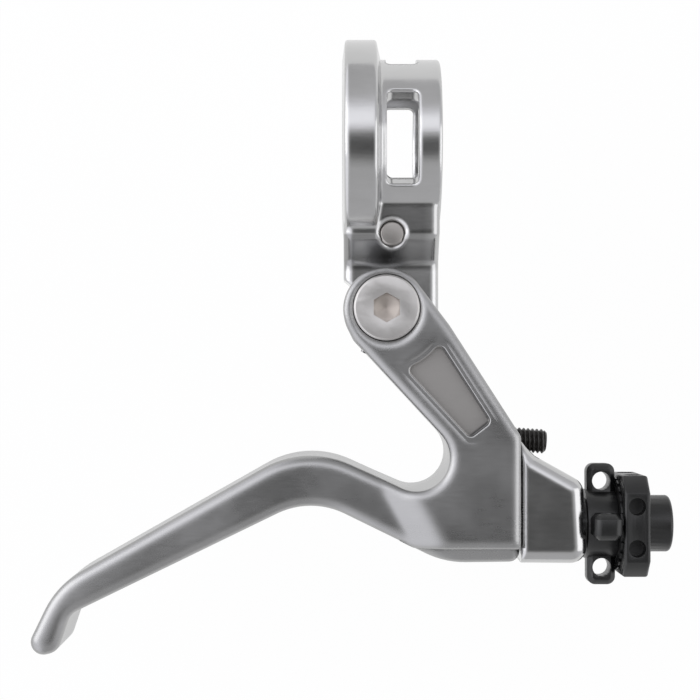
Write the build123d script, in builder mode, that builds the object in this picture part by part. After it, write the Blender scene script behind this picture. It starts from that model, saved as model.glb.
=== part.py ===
from build123d import *
import os
from math import acos, atan2, cos, degrees, hypot, radians, sin, sqrt

os.makedirs("parts", exist_ok=True)

# Bicycle brake lever in millimetres. The origin is on the handlebar's axis, at the clamp's mid-width.
# X runs along the bar towards the cable adjuster, Y away from the lever, Z towards the lever's front.

# Bar clamp
bar_diameter = 22.2
ring_radius = 13.6
clamp_half_width = 7.65
collar_radius = 16.7
collar_width = 6.0
collar_socket_radius = 13.3
collar_socket_depth = 3.2
collar_left_draft = 0.45
collar_right_draft = 0.7
ring_edge_rounding = 0.5
window_left = -0.85
window_width = 4.9
window_corner = 1.0
window_play = 0.05
window_spans = [(-123.0, -50.0), (-22.0, 28.4), (58.6, 123.0)]

# Neck, clamp slit and clamp bolt
neck_half_width = 7.45
neck_half_thickness = 9.5
neck_edge_rounding = 1.4
neck_slope_run = 4.1
neck_slope_rounding = 1.5
neck_end = 7.0
ring_root_rounding = 1.2
slit_drop = 18.4
slit_width = 1.6
ear_gap = 0.8
clamp_bolt_x = 0.05
clamp_bolt_drop = 14.6
clamp_bolt_hole = 3.94
clamp_bolt_clearance = 4.4
clamp_bolt_end_diameter = 3.3
clamp_bolt_head_radius = 3.5
clamp_bolt_head_height = 2.6
clamp_bolt_socket = 3.0
clamp_bolt_socket_depth = 1.7
clamp_bolt_recess = 0.55
clamp_washer_radius = 3.7
clamp_washer_thickness = 0.6
clamp_hole_rim = 0.43
clamp_pocket_depth = 2.4
clamp_pocket_radius = 3.95
head_rounding = 0.3

# Pivot
pivot_x = -0.8
pivot_y = -26.05
sleeve_radius = 3.0
pivot_head_radius = 5.1
pivot_head_height = 2.4
pivot_head_proud = 0.45
pivot_head_seat = 5.25
pivot_socket = 4.0
pivot_socket_depth = 1.6
pivot_drill_point = 0.8
pivot_thread_radius = 2.0
pivot_thread_length = 12.0
sleeve_gap = 0.2
knuckle_radius = 6.2
knuckle_end_drop = 0.55
knuckle_chamfer_rise = 4.55
bearing_outer_radius = 5.0
bearing_width = 3.0
bearing_shoulder = 2.1
shoulder_radius = 4.4
race_wall = 0.55
ball_radius = 0.56
ball_count = 8
cage_wall = 0.24
cage_width = 1.7
shield_thickness = 0.2
shield_gap = 0.1
running_clearance = 0.04
cheek_gap = 0.3
spring_mean_radius = 5.2
spring_wire_radius = 0.42
spring_leg_angle = 243.0
spring_leg_reach = 7.8
spring_leg_length = 5.7
spring_rise = 1.55
spring_low_z = -4.85
spring_room = 6.8
spring_slot = 1.3
spring_space = 2.5

# Lever blade, with its outline measured from the pivot
cheek_thickness = 3.9
lever_half_thickness = 9.5
blade_half_thickness = 7.5
boss_radius = 6.45
boss_offset = (-0.25, -0.25)
web_thickness = 3.0
web_start = 3.2
body_edge_rounding = 0.85
blade_edge_rounding = 1.3
arm_foot_offset = (-5.1, -4.98)
bend_offset = (26.21, -38.83)
shoulder_offset = (9.7, -2.7)
grip_top_offset = (-12.6, -21.23)
tip_top_offset = (-51.38, -43.21)
tip_end_offset = (-57.1, -55.05)
tip_bottom_offset = (-51.29, -53.59)
tip_inner_offset = (-49.32, -47.76)
grip_bottom_offset = (-11.74, -29.51)
body_right = 20.75
body_top_drop = -19.85
body_bottom = -39.7
body_heel = 9.1
body_heel_rise = 0.15
bend_rounding = 5.3
grip_top_rounding = 15.0
tip_top_rounding = 14.0
tip_end_rounding = 2.0
tip_bottom_rounding = 2.2
tip_inner_rounding = 3.0
grip_bottom_rounding = 12.0
heel_rounding = 14.0
body_low_rounding = 1.6
body_top_rounding = 1.5
shoulder_rounding = 8.0
foot_rounding = 2.0
crest_top_offset = (5.06, -30.3)
crest_low_offset = (8.4, -36.35)
slope_run = 4.0
slope_lead = 6.2
slope_overrun = 14.0
crest_rounding = 6.0
band_top = -37.35
body_layer_left = -9.0
body_layer_low = -14.0
pocket_depth = 1.3
pocket_corner = 1.0
pocket_left_start = 6.0
pocket_left_end = 23.4
pocket_right_start = 0.5
pocket_right_end = 16.1
pocket_side_wall = 2.82
pocket_right_wall = 2.6
pocket_ring_radius = 9.7
nipple_x = 11.5
nipple_radius = 3.6
nipple_depth = 13.0
cable_slot = 2.2
channel_floor = -29.6

# Arm and cable housing block
arm_half_thickness = 4.8
arm_inset = 0.6
arm_web_gap = 1.0
arm_top_start = 1.5
arm_top_end = 21.0
arm_into_block = 2.0
arm_end_high = 9.0
arm_end_low = 6.0
arm_corner = (4.7, 8.6)
arm_bend_run = 6.5
arm_bend_inset = 1.6
block_gap = 0.25
block_left_chamfer = 0.5
block_corner = 2.6
block_half_thickness = 8.0
block_rounding = 2.2
block_length = 10.45
block_top_rise = 13.5
block_step = (2.2, 11.15)
block_shoulder = (0.7, 6.95)
block_drop = 5.5
block_right_drop = 5.6
cable_drop = 34.25
cable_hole_radius = 1.3
rim_notch_up = 0.75
rim_notch_width = 3.1
rim_notch_depth = 1.0
rim_notch_height = 4.5

# Reach screw
screw_radius = 1.96
screw_chamfer = 0.5
screw_groove_radius = 2.4
reach_screw_length = 12.9
reach_screw_end_x = 24.85
reach_screw_y = -47.25
reach_screw_tilt = -4.0
reach_screw_socket = 2.0
reach_screw_socket_depth = 2.2

# Cable adjuster
adjuster_thread_radius = 4.0
stem_length = 12.6
stem_end_gap = 0.3
nut_gap = 0.25
nut_hub_lead = 0.35
nut_width = 4.45
nut_hub_radius = 5.5
lobe_reach = 9.6
lobe_thickness = 4.0
lobe_corner = 1.3
lobe_hole_radius = 1.45
lobe_hole_reach = 6.83
lobe_end_bevel = 0.8
disc_clearance = 0.05
disc_width = 0.3
disc_radius = 7.4
disc_teeth = 24
disc_gap = 0.9
disc_bore = 4.3
nut_turn = 2.0
knob_width = 4.1
knob_corner_cut = 2.5
knob_reach = 7.9
knob_hole_spread = 3.25
knob_hole_radius = 1.35
knob_hole_depth = 2.2
knob_hole_lead = 2.0
knob_rounding = 0.5
knob_turn = 1.0
tail_rounding = 0.6
tail_length = 4.3
tail_radius = 4.5
housing_seat_radius = 3.05
housing_seat_depth = 7.0

# Reach of cuts that run right through, and the play in what is told apart by its place
far = 80.0
tolerance = 0.01

# Derived places
bore_radius = bar_diameter / 2
adjuster_y = pivot_y - cable_drop
cheek_inner = lever_half_thickness - cheek_thickness
knuckle_front = cheek_inner - cheek_gap
knuckle_rear = knuckle_front - 2 * bearing_width - bearing_shoulder
rear_bearing_z = knuckle_rear
front_bearing_z = knuckle_front - bearing_width
neck_end_y = pivot_y + neck_end
neck_flat_end = neck_end_y + neck_slope_run
knuckle_end_y = pivot_y - knuckle_end_drop
pivot_head_base = lever_half_thickness + pivot_head_proud - pivot_head_height
collar_right = -clamp_half_width + collar_width
slit_end = -slit_drop
block_left = pivot_x + body_right + block_gap
nut_hub_start = block_left + block_length + nut_gap
nut_start = nut_hub_start + nut_hub_lead
disc_start = nut_start + nut_width + disc_clearance
knob_start = disc_start + disc_width + disc_clearance
adjuster_bore_floor = knob_start - stem_length - stem_end_gap
screw_direction = (cos(radians(reach_screw_tilt)), sin(radians(reach_screw_tilt)), 0)
screw_place = Plane(origin=(reach_screw_end_x, reach_screw_y, 0), z_dir=screw_direction).location
groove_place = Location((
    block_left, reach_screw_y - (reach_screw_end_x - block_left) * screw_direction[1], 0
)) * Plane((0, 0, 0), z_dir=screw_direction).location


def save(builder, name):
    """Label one finished piece and write it."""
    builder.part.label = name
    export_step(builder.part, f"parts/{name}.step")


def from_pivot(x, y):
    """Point given by its distance from the pivot."""
    return (pivot_x + x, pivot_y + y)


def touching_point(centre, radius, outside, turn):
    """Point where a line from an outside point touches a circle, on the side that turn gives."""
    dx = outside[0] - centre[0]
    dy = outside[1] - centre[1]
    angle = atan2(dy, dx) + turn * acos(radius / hypot(dx, dy))
    return (centre[0] + radius * cos(angle), centre[1] + radius * sin(angle))


def along(start, end, distance, offset):
    """Point a distance along the line from start to end, moved to its left by offset."""
    run = hypot(end[0] - start[0], end[1] - start[1])
    ux = (end[0] - start[0]) / run
    uy = (end[1] - start[1]) / run
    return (start[0] + ux * distance - uy * offset, start[1] + uy * distance + ux * offset)


# Lever outline: the corner points of its straight runs, each with the radius that rounds it
boss_centre = from_pivot(*boss_offset)
arm_foot = from_pivot(*arm_foot_offset)
bend_corner = from_pivot(*bend_offset)
arm_shoulder = from_pivot(*shoulder_offset)
body_top = from_pivot(body_right, body_top_drop)
lever_corners = [
    (bend_corner, bend_rounding),
    (from_pivot(*grip_top_offset), grip_top_rounding),
    (from_pivot(*tip_top_offset), tip_top_rounding),
    (from_pivot(*tip_end_offset), tip_end_rounding),
    (from_pivot(*tip_bottom_offset), tip_bottom_rounding),
    (from_pivot(*tip_inner_offset), tip_inner_rounding),
    (from_pivot(*grip_bottom_offset), grip_bottom_rounding),
    (from_pivot(body_heel, body_bottom), heel_rounding),
    (from_pivot(body_right, body_bottom + body_heel_rise), body_low_rounding),
    (body_top, body_top_rounding),
    (arm_shoulder, shoulder_rounding),
]
boss_left = touching_point(boss_centre, boss_radius, arm_foot, -1)
boss_right = touching_point(boss_centre, boss_radius, arm_shoulder, 1)
boss_top = (boss_centre[0], boss_centre[1] + boss_radius)
second_run = lever_corners[1][0]
foot_to_bend = hypot(bend_corner[0] - arm_foot[0], bend_corner[1] - arm_foot[1])
pivot_foot = ((pivot_x - arm_foot[0]) * (bend_corner[0] - arm_foot[0])
              + (pivot_y - arm_foot[1]) * (bend_corner[1] - arm_foot[1])) / foot_to_bend
bend_half = radians(abs(Vector(*bend_corner).sub(Vector(*arm_foot)).get_angle(
    Vector(*bend_corner).sub(Vector(*second_run))))) / 2
bend_tangent = foot_to_bend - bend_rounding / sin(bend_half) * cos(bend_half)
bend_centre = along(arm_foot, bend_corner, bend_tangent, -bend_rounding)

# Slope that takes the thick body down to the thinner blade, drawn from its crest
crest_top = from_pivot(*crest_top_offset)
crest_low = from_pivot(*crest_low_offset)

# The lever seen from its front: one outline for the whole forging
with BuildSketch() as lever_outline:
    with BuildLine():
        FilletPolyline(
            [boss_left, arm_foot] + [corner for corner, _ in lever_corners] + [boss_right],
            radius=[foot_rounding] + [radius for _, radius in lever_corners],
        )
        ThreePointArc(boss_right, boss_top, boss_left)
    make_face()

# The blade's own thickness all over, and the thicker arm and body with their slopes down to it
step_rise = lever_half_thickness - blade_half_thickness
slope_start = along(crest_top, crest_low, -slope_overrun, 0)
band_y = pivot_y + band_top
slope_fall = (crest_low[1] - crest_top[1]) / (crest_low[0] - crest_top[0])
slope_end = (crest_low[0] + (band_y - crest_low[1]) / slope_fall, band_y)
slope_plane = Plane(
    origin=(slope_start[0], slope_start[1], blade_half_thickness),
    x_dir=(crest_top[1] - crest_low[1], crest_low[0] - crest_top[0], 0),
    z_dir=(crest_low[0] - crest_top[0], crest_low[1] - crest_top[1], 0),
)


def outer_rims(part):
    """Edges where the upright walls of a flat forging meet its front and back."""
    upright = part.faces().filter_by(lambda face: abs(face.normal_at().Z) < tolerance)
    return upright.edges().filter_by(lambda edge: abs(edge.center().Z) > blade_half_thickness - tolerance)


with BuildPart() as blade_layer:
    add(lever_outline.sketch)
    extrude(amount=blade_half_thickness, both=True)
    fillet(outer_rims(blade_layer.part), blade_edge_rounding)

with BuildPart() as body_layer:
    with BuildSketch() as body_outline:
        add(lever_outline.sketch)
        with BuildLine():
            Polyline(
                along(slope_start, slope_end, 0, -slope_lead),
                (slope_end[0] - slope_lead, band_y),
                (far, band_y),
                (far, 0),
                (-far, 0),
                from_pivot(-far, body_layer_low),
                from_pivot(body_layer_left, body_layer_low),
                close=True,
            )
        make_face(mode=Mode.INTERSECT)
    extrude(amount=lever_half_thickness, both=True)
    with BuildSketch(slope_plane):
        with BuildLine():
            crest = FilletPolyline(
                (-2 * slope_run, -step_rise),
                (0, step_rise),
                (4 * slope_run, step_rise),
                radius=crest_rounding,
            )
            Polyline(crest @ 1, (4 * slope_run, 2 * step_rise), (-2 * slope_run, 2 * step_rise), crest @ 0)
        make_face()
    extrude(amount=far, mode=Mode.SUBTRACT)
    mirror(about=Plane.XY, mode=Mode.INTERSECT)
    fillet(outer_rims(body_layer.part), body_edge_rounding)

# Room between the cheeks for the knuckle and the arm, open towards the clamp and the adjuster
web_end = pivot_foot + web_start
channel_radius = bend_rounding + web_thickness
floor_y = pivot_y + channel_floor
floor_angle = atan2(floor_y - bend_centre[1], sqrt(channel_radius**2 - (floor_y - bend_centre[1])**2))
middle_angle = floor_angle / 2
web_tangent = along(arm_foot, bend_corner, bend_tangent, web_thickness)
knuckle_room = knuckle_radius + 2 * cheek_gap
with BuildSketch() as channel_outline:
    with BuildLine():
        Polyline(
            web_tangent,
            along(arm_foot, bend_corner, web_end, web_thickness),
            along(arm_foot, bend_corner, web_end, -web_thickness),
            from_pivot(-far, 0),
            (-far, 0),
            (far, 0),
            (far, floor_y),
            (bend_centre[0] + channel_radius * cos(floor_angle), floor_y),
        )
        ThreePointArc(
            (bend_centre[0] + channel_radius * cos(floor_angle), floor_y),
            (bend_centre[0] + channel_radius * cos(middle_angle),
             bend_centre[1] + channel_radius * sin(middle_angle)),
            web_tangent,
        )
    make_face()
    with Locations((pivot_x, pivot_y)):
        Circle(knuckle_room)

# Recess in each side of the arm, its top following a ring round the pivot
with BuildSketch() as pocket_outline:
    with BuildLine():
        Polyline(
            along(arm_foot, bend_corner, pocket_left_start, pocket_side_wall),
            along(arm_foot, bend_corner, pocket_left_end, pocket_side_wall),
            along(arm_shoulder, body_top, pocket_right_end, -pocket_right_wall),
            along(arm_shoulder, body_top, pocket_right_start, -pocket_right_wall),
            close=True,
        )
    make_face()
    with Locations((pivot_x, pivot_y)):
        Circle(pocket_ring_radius, mode=Mode.SUBTRACT)
    fillet(pocket_outline.vertices(), pocket_corner)

with BuildPart() as lever_blade:
    add(blade_layer.part)
    add(body_layer.part)
    add(channel_outline.sketch)
    extrude(amount=cheek_inner, both=True, mode=Mode.SUBTRACT)
    with BuildSketch(Plane.XY.offset(lever_half_thickness - pocket_depth)):
        add(pocket_outline.sketch)
    extrude(amount=2 * pocket_depth, mode=Mode.SUBTRACT)
    with BuildSketch(Plane.XY.offset(-lever_half_thickness - pocket_depth)):
        add(pocket_outline.sketch)
    extrude(amount=2 * pocket_depth, mode=Mode.SUBTRACT)
    with Locations((pivot_x, pivot_y)):
        Cylinder(sleeve_radius + running_clearance, 3 * lever_half_thickness, mode=Mode.SUBTRACT)
    for side in (1, -1):
        with Locations((pivot_x, pivot_y, side * (pivot_head_base + pivot_head_height / 2))):
            Cylinder(pivot_head_seat, pivot_head_height, mode=Mode.SUBTRACT)
    with Locations((nipple_x, adjuster_y, nipple_depth / 2 - lever_half_thickness)):
        Cylinder(nipple_radius, nipple_depth, mode=Mode.SUBTRACT)
    slot_top = cable_slot / 2
    with Locations((nipple_x, adjuster_y, slot_top)):
        Box(far, cable_slot, 2 * lever_half_thickness, mode=Mode.SUBTRACT,
            align=(Align.MIN, Align.CENTER, Align.MAX))
save(lever_blade, "lever_blade")

# Housing block at the arm's far end
with BuildPart() as block:
    with BuildSketch() as block_outline:
        with BuildLine():
            Polyline(
                (block_left, adjuster_y + block_top_rise),
                (block_left + block_step[0], adjuster_y + block_step[1]),
                (block_left + block_length - block_shoulder[0], adjuster_y + block_shoulder[1]),
                (block_left + block_length, adjuster_y - block_right_drop),
                (block_left, adjuster_y - block_drop),
                close=True,
            )
        make_face()
        fillet(block_outline.vertices().sort_by(Axis.X)[-2:], block_corner)
    extrude(amount=block_half_thickness, both=True)
    chamfer(outer_rims(block.part).filter_by(lambda edge: edge.center().X < block_left + tolerance),
            block_left_chamfer)
    fillet(outer_rims(block.part).filter_by(lambda edge: edge.center().X > block_left + block_left_chamfer),
           block_rounding)

# Neck of the clamp, seen from the side, sloping down to the knuckle's thickness
with BuildPart() as neck:
    with BuildSketch(Plane.YZ):
        with BuildLine():
            FilletPolyline(
                (0, neck_half_thickness),
                (neck_flat_end, neck_half_thickness),
                (neck_end_y, knuckle_front),
                (knuckle_end_y, knuckle_front),
                radius=neck_slope_rounding,
            )
            Polyline((knuckle_end_y, knuckle_front), (knuckle_end_y, 0), (0, 0), (0, neck_half_thickness))
        make_face()
        mirror(about=Plane.XZ)
    extrude(amount=neck_half_width, both=True)
    with BuildSketch(Plane.XY.offset(-neck_half_thickness)):
        with BuildLine():
            Polyline(
                (-neck_half_width, pivot_y + knuckle_chamfer_rise),
                (-neck_half_width, knuckle_end_y - 1),
                (0, knuckle_end_y - 1),
                close=True,
            )
        make_face()
    extrude(amount=2 * neck_half_thickness, mode=Mode.SUBTRACT)
    side_edges = neck.faces().filter_by(Axis.X).edges().filter_by(
        lambda edge: abs(edge.center().Z) > knuckle_front - tolerance
    )
    fillet(side_edges, neck_edge_rounding)

# Clamp rings turned round the bar: the wide collar at the left, then the narrower ring
with BuildPart() as rings:
    with BuildSketch() as ring_profile:
        with BuildLine():
            Polyline(
                (-clamp_half_width, bore_radius),
                (-clamp_half_width, ring_radius),
                (-clamp_half_width + collar_left_draft, collar_radius),
                (collar_right - collar_right_draft, collar_radius),
                (collar_right, ring_radius),
                (clamp_half_width, ring_radius),
                (clamp_half_width, bore_radius),
                close=True,
            )
        make_face()
        outer_corners = ring_profile.vertices().filter_by(lambda v: v.Y > ring_radius + tolerance)
        fillet(outer_corners, ring_edge_rounding)
        fillet(ring_profile.vertices().filter_by(
            lambda v: v.Y > ring_radius - tolerance and v.X > clamp_half_width - tolerance
        ), ring_edge_rounding)
    revolve(axis=Axis.X)

# Knuckle between the lever's cheeks, and the arm that runs inside the lever to the block
arm_left = web_thickness + arm_web_gap
with BuildPart() as knuckle:
    with Locations((pivot_x, pivot_y, 0)):
        Cylinder(knuckle_radius, 2 * knuckle_front)
with BuildPart() as arm:
    with BuildSketch():
        with BuildLine():
            Polyline(
                (neck_half_width, knuckle_end_y),
                along(arm_shoulder, body_top, arm_top_start, -arm_inset),
                along(arm_shoulder, body_top, arm_top_end, -arm_inset),
                (block_left + arm_into_block, adjuster_y + arm_end_high),
                (block_left + arm_into_block, adjuster_y + arm_end_low),
                (block_left - arm_corner[0], adjuster_y + arm_corner[1]),
                along(arm_foot, bend_corner, bend_tangent + arm_bend_run, arm_left + arm_bend_inset),
                along(arm_foot, bend_corner, bend_tangent - arm_bend_inset, arm_left),
                along(arm_foot, bend_corner, pivot_foot, arm_left),
                (pivot_x, pivot_y),
                close=True,
            )
        make_face()
    extrude(amount=arm_half_thickness, both=True)

# The bracket, one forging: rings, neck, knuckle, arm and block with every hole cut
with BuildPart() as clamp_bracket:
    for body in (rings, neck, knuckle, arm, block):
        add(body.part)
    ring_root_y = -sqrt(ring_radius**2 - neck_half_thickness**2)
    ring_roots = clamp_bracket.edges().filter_by(Axis.X).filter_by(
        lambda edge: abs(edge.center().Y - ring_root_y) < tolerance
        and abs(abs(edge.center().Z) - neck_half_thickness) < tolerance
    )
    fillet(ring_roots, ring_root_rounding)
    with Locations(Location((0, 0, 0), (0, 90, 0))):
        Cylinder(bore_radius, 4 * clamp_half_width, mode=Mode.SUBTRACT)
    with Locations(Location((-clamp_half_width - 1 + (collar_socket_depth + 1) / 2, 0, 0), (0, 90, 0))):
        Cylinder(collar_socket_radius, collar_socket_depth + 1, mode=Mode.SUBTRACT)
    for first, last in window_spans:
        with BuildSketch(Plane.YZ.offset(window_left)):
            with BuildLine():
                Polyline(
                    (0, 0),
                    *[(2 * ring_radius * cos(radians(first + (last - first) * step / 4)),
                       2 * ring_radius * sin(radians(first + (last - first) * step / 4)))
                      for step in range(5)],
                    close=True,
                )
            make_face()
        extrude(amount=window_width, mode=Mode.SUBTRACT)
    with Locations((0, slit_end / 2, 0)):
        Box(4 * neck_half_width, -slit_end, slit_width, mode=Mode.SUBTRACT)
    window_edges = clamp_bracket.edges().filter_by(GeomType.LINE).filter_by(
        lambda edge: abs(abs(edge.center().X - window_left - window_width / 2) - window_width / 2) < tolerance
        and abs(edge.length - (ring_radius - bore_radius)) < window_play
    )
    fillet(window_edges, window_corner)
    with Locations((0, slit_end, slit_width / 2)):
        Box(4 * neck_half_width, ear_gap, far, mode=Mode.SUBTRACT,
            align=(Align.CENTER, Align.MAX, Align.MAX))
    with Locations((clamp_bolt_x, -clamp_bolt_drop, 0)):
        Cylinder(clamp_bolt_hole / 2, far, mode=Mode.SUBTRACT)
    with Locations((clamp_bolt_x, -clamp_bolt_drop, 0)):
        Cylinder(clamp_bolt_clearance / 2, far, mode=Mode.SUBTRACT,
                 align=(Align.CENTER, Align.CENTER, Align.MAX))
    with Locations((clamp_bolt_x, -clamp_bolt_drop, clamp_pocket_depth - neck_half_thickness)):
        Cylinder(clamp_pocket_radius, far, mode=Mode.SUBTRACT,
                 align=(Align.CENTER, Align.CENTER, Align.MAX))
    with Locations((clamp_bolt_x, -clamp_bolt_drop, neck_half_thickness - clamp_hole_rim)):
        Cone(clamp_bolt_hole / 2, clamp_bolt_hole / 2 + 2 * clamp_hole_rim, 2 * clamp_hole_rim,
             mode=Mode.SUBTRACT, align=(Align.CENTER, Align.CENTER, Align.MIN))
    with Locations((pivot_x, pivot_y, 0)):
        Cylinder(shoulder_radius, far, mode=Mode.SUBTRACT)
    with Locations((pivot_x, pivot_y, front_bearing_z)):
        Cylinder(bearing_outer_radius, far, mode=Mode.SUBTRACT,
                 align=(Align.CENTER, Align.CENTER, Align.MIN))
    with Locations((pivot_x, pivot_y, rear_bearing_z + bearing_width)):
        Cylinder(bearing_outer_radius, far, mode=Mode.SUBTRACT,
                 align=(Align.CENTER, Align.CENTER, Align.MAX))
    with Locations((pivot_x, pivot_y, rear_bearing_z)):
        Cylinder(spring_room, far, mode=Mode.SUBTRACT,
                 align=(Align.CENTER, Align.CENTER, Align.MAX))
    with Locations((pivot_x + spring_mean_radius, pivot_y, rear_bearing_z)):
        Box(spring_slot, spring_leg_length + spring_wire_radius, spring_space + 1, mode=Mode.SUBTRACT,
            align=(Align.CENTER, Align.MIN, Align.MAX))
    with Locations(screw_place):
        Cylinder(screw_radius + running_clearance, 2 * reach_screw_length, mode=Mode.SUBTRACT)
    with Locations(groove_place):
        Cylinder(screw_groove_radius, reach_screw_length, mode=Mode.SUBTRACT,
                 align=(Align.CENTER, Align.CENTER, Align.MIN))
    with Locations(Location((adjuster_bore_floor, adjuster_y, 0), (0, 90, 0))):
        Cylinder(adjuster_thread_radius + running_clearance, far, mode=Mode.SUBTRACT,
                 align=(Align.CENTER, Align.CENTER, Align.MIN))
    with Locations(Location((block_left, adjuster_y, 0), (0, 90, 0))):
        Cylinder(cable_hole_radius, block_length, mode=Mode.SUBTRACT)
    for side in (1, -1):
        with Locations((block_left + block_length, adjuster_y + rim_notch_up, side * block_half_thickness)):
            Box(2 * rim_notch_depth, rim_notch_width, 2 * rim_notch_height, mode=Mode.SUBTRACT)
save(clamp_bracket, "clamp_bracket")

# Clamp bolt from the back, its chamfered end showing in the front of the neck
bolt_seat_z = clamp_pocket_depth - neck_half_thickness - clamp_washer_thickness
bolt_end_z = neck_half_thickness - clamp_bolt_recess
bolt_radius = clamp_bolt_hole / 2 - running_clearance
with BuildPart() as clamp_bolt:
    with Locations((clamp_bolt_x, -clamp_bolt_drop, bolt_seat_z)):
        Cylinder(clamp_bolt_head_radius, clamp_bolt_head_height,
                 align=(Align.CENTER, Align.CENTER, Align.MAX))
        Cylinder(bolt_radius, bolt_end_z - bolt_seat_z, align=(Align.CENTER, Align.CENTER, Align.MIN))
    chamfer(clamp_bolt.faces().sort_by(Axis.Z)[-1].edges(), bolt_radius - clamp_bolt_end_diameter / 2)
    fillet(clamp_bolt.faces().sort_by(Axis.Z)[0].edges(), head_rounding)
    with BuildSketch(Plane.XY.offset(bolt_seat_z - clamp_bolt_head_height)):
        with Locations((clamp_bolt_x, -clamp_bolt_drop)):
            RegularPolygon(clamp_bolt_socket / 2, 6, major_radius=False)
    extrude(amount=clamp_bolt_socket_depth, mode=Mode.SUBTRACT)
save(clamp_bolt, "clamp_bolt")

with BuildPart() as clamp_bolt_washer:
    with BuildSketch(Plane.XY.offset(bolt_seat_z)):
        with Locations((clamp_bolt_x, -clamp_bolt_drop)):
            Circle(clamp_washer_radius)
            Circle(clamp_bolt_clearance / 2, mode=Mode.SUBTRACT)
    extrude(amount=clamp_washer_thickness)
save(clamp_bolt_washer, "clamp_bolt_washer")


def ring(name, inner, outer, low, high):
    """Write a plain ring round the pivot."""
    with BuildPart() as plain_ring:
        with BuildSketch(Plane.XY.offset(low)):
            with Locations((pivot_x, pivot_y)):
                Circle(outer)
                Circle(inner, mode=Mode.SUBTRACT)
        extrude(amount=high - low)
    save(plain_ring, name)


def hexagon_hole(builder, face_z, into):
    """Cut the pivot's hexagon socket and the drill point below it."""
    with BuildSketch(Plane.XY.offset(face_z)) as hexagon:
        with Locations((pivot_x, pivot_y)):
            RegularPolygon(pivot_socket / 2, 6, major_radius=False, rotation=30)
    extrude(hexagon.sketch, amount=into * pivot_socket_depth, mode=Mode.SUBTRACT)
    with Locations(Location((pivot_x, pivot_y, face_z + into * pivot_socket_depth), (90 + into * 90, 0, 0))):
        Cone(tolerance, pivot_socket / 2, pivot_drill_point, mode=Mode.SUBTRACT,
             align=(Align.CENTER, Align.CENTER, Align.MAX))


# Pivot bolt and the sleeve nut it screws into
head_face = pivot_head_base + pivot_head_height
with BuildPart() as pivot_bolt:
    with Locations((pivot_x, pivot_y, pivot_head_base)):
        Cylinder(pivot_head_radius, pivot_head_height, align=(Align.CENTER, Align.CENTER, Align.MIN))
        Cylinder(pivot_thread_radius, pivot_thread_length, align=(Align.CENTER, Align.CENTER, Align.MAX))
    chamfer(pivot_bolt.faces().sort_by(Axis.Z)[-1].edges(), head_rounding)
    chamfer(pivot_bolt.faces().sort_by(Axis.Z)[0].edges(), head_rounding)
    hexagon_hole(pivot_bolt, head_face, -1)
save(pivot_bolt, "pivot_bolt")

with BuildPart() as pivot_nut:
    with Locations((pivot_x, pivot_y, -pivot_head_base)):
        Cylinder(pivot_head_radius, pivot_head_height, align=(Align.CENTER, Align.CENTER, Align.MAX))
        Cylinder(sleeve_radius, 2 * pivot_head_base - sleeve_gap,
                 align=(Align.CENTER, Align.CENTER, Align.MIN))
    with Locations((pivot_x, pivot_y, pivot_head_base)):
        Cylinder(pivot_thread_radius + running_clearance, pivot_thread_length + sleeve_gap,
                 mode=Mode.SUBTRACT, align=(Align.CENTER, Align.CENTER, Align.MAX))
    chamfer(pivot_nut.faces().sort_by(Axis.Z)[0].edges(), head_rounding)
    hexagon_hole(pivot_nut, -head_face, 1)
save(pivot_nut, "pivot_nut")

# Two ball bearings in the knuckle, alike
inner_race_radius = sleeve_radius + race_wall
outer_race_bore = bearing_outer_radius - race_wall
ball_ring_radius = (inner_race_radius + outer_race_bore) / 2
for place, low in (("front", front_bearing_z), ("rear", rear_bearing_z)):
    middle = low + bearing_width / 2
    for name, inner, outer in (
        ("outer_race", outer_race_bore, bearing_outer_radius),
        ("inner_race", sleeve_radius, inner_race_radius),
    ):
        with BuildPart() as race:
            with Locations((pivot_x, pivot_y, middle)):
                Cylinder(outer, bearing_width)
                Cylinder(inner, bearing_width, mode=Mode.SUBTRACT)
                Torus(ball_ring_radius, ball_radius + running_clearance, mode=Mode.SUBTRACT)
        save(race, f"{place}_bearing_{name}")
    with BuildPart() as cage:
        with Locations((pivot_x, pivot_y, middle)):
            Cylinder(ball_ring_radius + cage_wall / 2, cage_width)
            Cylinder(ball_ring_radius - cage_wall / 2, cage_width, mode=Mode.SUBTRACT)
            for pocket in range(ball_count):
                with Locations(Location((0, 0, 0), (0, 0, pocket * 360 / ball_count))):
                    with Locations(Location((0, 0, 0), (0, 90, 0))):
                        Cylinder(ball_radius + running_clearance, bearing_outer_radius,
                                 mode=Mode.SUBTRACT, align=(Align.CENTER, Align.CENTER, Align.MIN))
    save(cage, f"{place}_bearing_cage")
    with BuildPart() as balls:
        with Locations((pivot_x, pivot_y, middle)):
            with PolarLocations(ball_ring_radius, ball_count):
                Sphere(ball_radius)
    save(balls, f"{place}_bearing_balls")
    with BuildPart() as shields:
        for shield_low in (low, low + bearing_width - shield_thickness):
            with BuildSketch(Plane.XY.offset(shield_low)):
                with Locations((pivot_x, pivot_y)):
                    Circle(outer_race_bore)
                    Circle(inner_race_radius + shield_gap, mode=Mode.SUBTRACT)
            extrude(amount=shield_thickness)
    save(shields, f"{place}_bearing_shields")

sleeve_fit = sleeve_radius + running_clearance
ring("bearing_spacer", sleeve_fit, inner_race_radius, rear_bearing_z + bearing_width, front_bearing_z)
ring("front_pivot_washer", sleeve_fit, inner_race_radius, knuckle_front, cheek_inner)
ring("rear_pivot_spacer", sleeve_fit, inner_race_radius, -cheek_inner, rear_bearing_z)

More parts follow.
